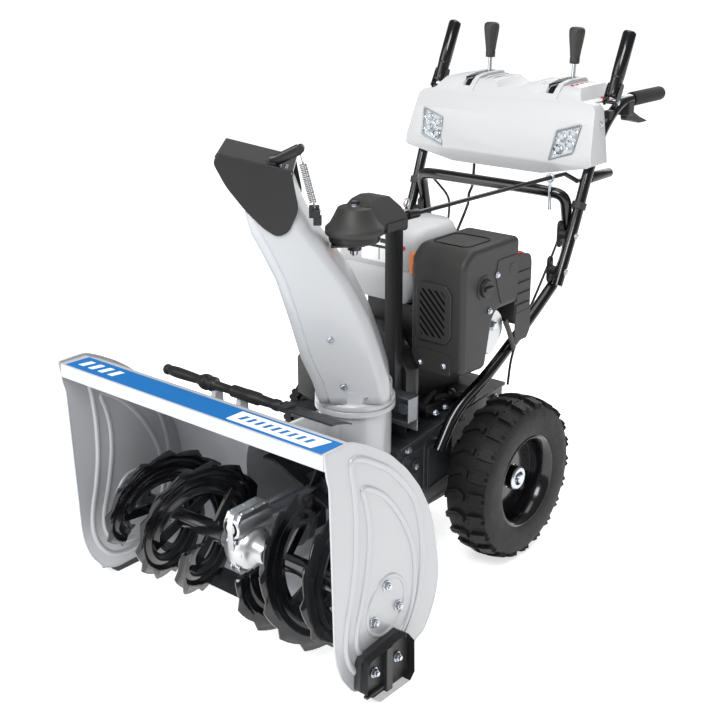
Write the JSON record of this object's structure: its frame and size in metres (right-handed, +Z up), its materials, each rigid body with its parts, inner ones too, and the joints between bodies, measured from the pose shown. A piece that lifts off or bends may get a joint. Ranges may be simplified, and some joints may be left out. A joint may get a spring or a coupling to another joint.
{
  "type": "two stage snowblower",
  "caption": "Walk-behind two stage snowblower with a serrated auger in a wide housing, an impeller, a turning chute with a deflector, an engine and two driven wheels.",
  "frame": {"origin": "on the ground under the middle of the machine's outer box", "axes": "+Z up, +Y from the auger housing back to the handlebars, +X across the machine to the side of the engine cover and chute crank"},
  "size_m": [0.792, 1.365, 1.1425],
  "materials": {
    "housing_paint": "satin silver-grey paint",
    "zinc_steel": "zinc plated",
    "skid_plastic": "scuffed",
    "dark_steel": "satin",
    "gloss_black_steel": "gloss",
    "satin_black_steel": "satin",
    "cast_aluminium": "as cast",
    "charcoal_plastic": "fine grain",
    "black_plastic": "satin",
    "pale_plastic": "satin",
    "amber_plastic": "gloss",
    "lamp_lens": "clear over reflectors",
    "grip_foam": "matt",
    "belt_rubber": "matt",
    "tyre_rubber": "matt"
  },
  "bodies": {
    "frame": {"auger_housing": "housing_paint", "side_plate_right": "housing_paint", "side_plate_left": "housing_paint", "impeller_drum": "housing_paint", "auger_bearing_right": "zinc_steel", "auger_bearing_left": "zinc_steel", "mast_bracket": "zinc_steel", "crank_eyebolt": "zinc_steel", "skid_shoe_right": "skid_plastic", "skid_shoe_left": "skid_plastic", "scraper_blade": "dark_steel", "chassis": "dark_steel", "lower_handle": "gloss_black_steel", "upper_handle_right": "gloss_black_steel", "upper_handle_left": "gloss_black_steel", "mast": "satin_black_steel", "belt_cover": "satin_black_steel", "gearbox_case": "cast_aluminium", "muffler": "cast_aluminium", "engine_block": "cast_aluminium", "gear_head_cover": "charcoal_plastic", "engine_cover": "charcoal_plastic", "rear_cover": "charcoal_plastic", "control_cable_right": "black_plastic", "control_cable_left": "black_plastic", "fuel_tank": "pale_plastic", "console": "pale_plastic", "lamp_right": "lamp_lens", "lamp_left": "lamp_lens", "grip_right": "grip_foam", "grip_left": "grip_foam", "drive_belt": "belt_rubber"},
    "auger": {"auger_shaft": "zinc_steel", "auger_right": "gloss_black_steel", "auger_left": "gloss_black_steel"},
    "impeller": {"impeller_shaft": "zinc_steel", "impeller": "gloss_black_steel"},
    "crankshaft": {"crankshaft": "zinc_steel"},
    "friction_disc": {"friction_disc": "zinc_steel"},
    "hex_shaft": {"hex_shaft": "zinc_steel"},
    "friction_wheel": {"friction_wheel": "belt_rubber"},
    "wheel_right": {"rim_right": "gloss_black_steel", "tyre_right": "tyre_rubber"},
    "wheel_left": {"rim_left": "gloss_black_steel", "tyre_left": "tyre_rubber"},
    "chute": {"chute": "housing_paint", "chute_drive": "satin_black_steel"},
    "deflector": {"deflector": "satin_black_steel"},
    "chute_crank": {"chute_crank": "satin_black_steel"},
    "clutch_lever_right": {"clutch_lever_right": "gloss_black_steel"},
    "clutch_lever_left": {"clutch_lever_left": "gloss_black_steel"},
    "trigger_right": {"trigger_right": "black_plastic"},
    "trigger_left": {"trigger_left": "black_plastic"},
    "chute_lever": {"chute_lever": "charcoal_plastic"},
    "speed_lever": {"speed_lever": "charcoal_plastic"},
    "shift_rod": {"shift_rod": "zinc_steel"},
    "fuel_cap": {"fuel_cap": "amber_plastic"},
    "choke_knob": {"choke_knob": "charcoal_plastic"},
    "starter_grip": {"starter_grip": "black_plastic"},
    "cleanout_tool": {"cleanout_tool": "black_plastic"}
  },
  "joints": [
    {"name": "auger_spin", "type": "hinge", "parent": "frame", "child": "auger", "pos_m": [0, -0.5165, 0.17], "axis": [1, 0, 0], "continuous": true},
    {"name": "impeller_spin", "type": "hinge", "parent": "frame", "child": "impeller", "pos_m": [0, -0.2795, 0.225], "axis": [0, 1, 0], "continuous": true},
    {"name": "crankshaft_spin", "type": "hinge", "parent": "frame", "child": "crankshaft", "pos_m": [0, -0.1245, 0.455], "axis": [0, 1, 0], "continuous": true},
    {"name": "friction_disc_spin", "type": "hinge", "parent": "frame", "child": "friction_disc", "pos_m": [0, -0.0595, 0.262], "axis": [0, 1, 0], "continuous": true},
    {"name": "hex_shaft_spin", "type": "hinge", "parent": "frame", "child": "hex_shaft", "pos_m": [0, 0.0048, 0.262], "axis": [1, 0, 0], "continuous": true},
    {"name": "friction_wheel_shift", "type": "slide", "parent": "hex_shaft", "child": "friction_wheel", "axis": [1, 0, 0], "range_m": [-0.02, 0.08]},
    {"name": "wheel_right_spin", "type": "hinge", "parent": "frame", "child": "wheel_right", "pos_m": [0.245, 0.0735, 0.188], "axis": [1, 0, 0], "continuous": true},
    {"name": "wheel_left_spin", "type": "hinge", "parent": "frame", "child": "wheel_left", "pos_m": [-0.245, 0.0735, 0.188], "axis": [1, 0, 0], "continuous": true},
    {"name": "chute_swivel", "type": "hinge", "parent": "frame", "child": "chute", "pos_m": [0.098, -0.2915, 0.5], "axis": [0, 0, 1], "range_deg": [-50, 150]},
    {"name": "chute_crank_turn", "type": "hinge", "parent": "frame", "child": "chute_crank", "pos_m": [0.1, -0.2915, 0.806], "axis": [0.1311, 0.9908, 0.0332], "range_deg": [-180, 530]},
    {"name": "deflector_tilt", "type": "hinge", "parent": "chute", "child": "deflector", "pos_m": [0.00224, -0.37185, 0.935], "axis": [0.6428, -0.766, 0], "range_deg": [-10, 45]},
    {"name": "clutch_lever_right_squeeze", "type": "hinge", "parent": "frame", "child": "clutch_lever_right", "pos_m": [0.243, 0.4385, 0.985], "axis": [1, 0, 0], "range_deg": [-43, 0], "stiffness_Nm_per_rad": 1.5, "springref_deg": 20.05},
    {"name": "clutch_lever_left_squeeze", "type": "hinge", "parent": "frame", "child": "clutch_lever_left", "pos_m": [-0.243, 0.4385, 0.985], "axis": [1, 0, 0], "range_deg": [-43, 0], "stiffness_Nm_per_rad": 1.5, "springref_deg": 20.05},
    {"name": "trigger_right_squeeze", "type": "hinge", "parent": "frame", "child": "trigger_right", "pos_m": [0.243, 0.5105, 0.944], "axis": [1, 0, 0], "range_deg": [0, 12], "stiffness_Nm_per_rad": 0.5, "springref_deg": -17.19},
    {"name": "trigger_left_squeeze", "type": "hinge", "parent": "frame", "child": "trigger_left", "pos_m": [-0.243, 0.5105, 0.944], "axis": [1, 0, 0], "range_deg": [0, 12], "stiffness_Nm_per_rad": 0.5, "springref_deg": -17.19},
    {"name": "chute_lever_tilt", "type": "hinge", "parent": "frame", "child": "chute_lever", "pos_m": [0.116, 0.4735, 0.88], "axis": [1, 0, 0], "range_deg": [-8, 36]},
    {"name": "speed_lever_tilt", "type": "hinge", "parent": "frame", "child": "speed_lever", "pos_m": [-0.116, 0.4735, 0.88], "axis": [1, 0, 0], "range_deg": [-8, 36]},
    {"name": "shift_rod_travel", "type": "slide", "parent": "frame", "child": "shift_rod", "axis": [0, -0.5958, -0.8031], "range_m": [-0.01, 0.03]},
    {"name": "fuel_cap_turn", "type": "hinge", "parent": "frame", "child": "fuel_cap", "pos_m": [-0.04, -0.0115, 0.764], "axis": [0, 0, 1], "range_deg": [0, 90]},
    {"name": "choke_turn", "type": "hinge", "parent": "frame", "child": "choke_knob", "pos_m": [0.235, -0.0265, 0.65], "axis": [1, 0, 0], "range_deg": [0, 90]},
    {"name": "starter_pull", "type": "slide", "parent": "frame", "child": "starter_grip", "axis": [0, 1, 0], "range_m": [0, 0.5], "stiffness_N_per_m": 20, "springref_m": -0.1},
    {"name": "cleanout_tool_lift", "type": "slide", "parent": "frame", "child": "cleanout_tool", "axis": [0, 0, 1], "range_m": [0, 0.1]}
  ],
  "couplings": [
    {"joint": "impeller_spin", "follows": "auger_spin", "ratio": 10},
    {"joint": "chute_crank_turn", "follows": "chute_swivel", "ratio": 3.5},
    {"joint": "chute_lever_tilt", "follows": "deflector_tilt", "ratio": 0.75},
    {"joint": "shift_rod_travel", "follows": "speed_lever_tilt", "m_per_rad": 0.04},
    {"joint": "friction_wheel_shift", "follows": "speed_lever_tilt", "m_per_rad": 0.12}
  ]
}
